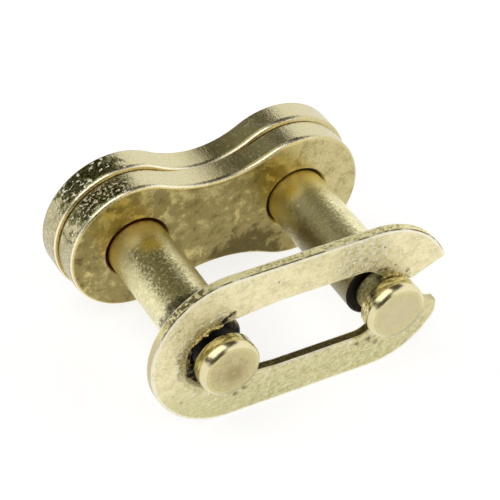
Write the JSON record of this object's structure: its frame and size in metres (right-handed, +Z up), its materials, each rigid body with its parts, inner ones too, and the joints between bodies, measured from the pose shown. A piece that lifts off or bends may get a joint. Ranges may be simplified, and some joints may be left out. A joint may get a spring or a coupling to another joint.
{
  "type": "chain connecting link",
  "caption": "Spring-clip connecting link for a roller chain: waisted pin link plate with riveted grooved pins, sliding cover plate and flat split spring clip.",
  "frame": {"origin": "below the middle of the link, at the height of its lowest point, the spring clip's lower edge", "axes": "+X along the chain from the clip's closed end to its mouth, -Y along the pins towards their free ends and the clip, +Z up"},
  "size_m": [0.0234, 0.0186, 0.0119],
  "materials": {
    "plate_steel": "satin, pale gold plating over blanked steel",
    "pin_steel": "ground and tumbled, pale gold plating",
    "clip_steel": "satin, pale gold plating over spring strip"
  },
  "bodies": {
    "link": {"pin_link_plate": "plate_steel", "left_pin": "pin_steel", "right_pin": "pin_steel"},
    "cover": {"cover_plate": "plate_steel"},
    "clip": {"spring_clip": "clip_steel"}
  },
  "joints": [
    {"name": "cover_slide", "type": "slide", "parent": "link", "child": "cover", "axis": [0, -1, 0], "range_m": [0, 0.0113]},
    {"name": "clip_slide", "type": "slide", "parent": "link", "child": "clip", "axis": [-1, 0, 0], "range_m": [0, 0.022], "deforming": ["spring_clip"]}
  ]
}
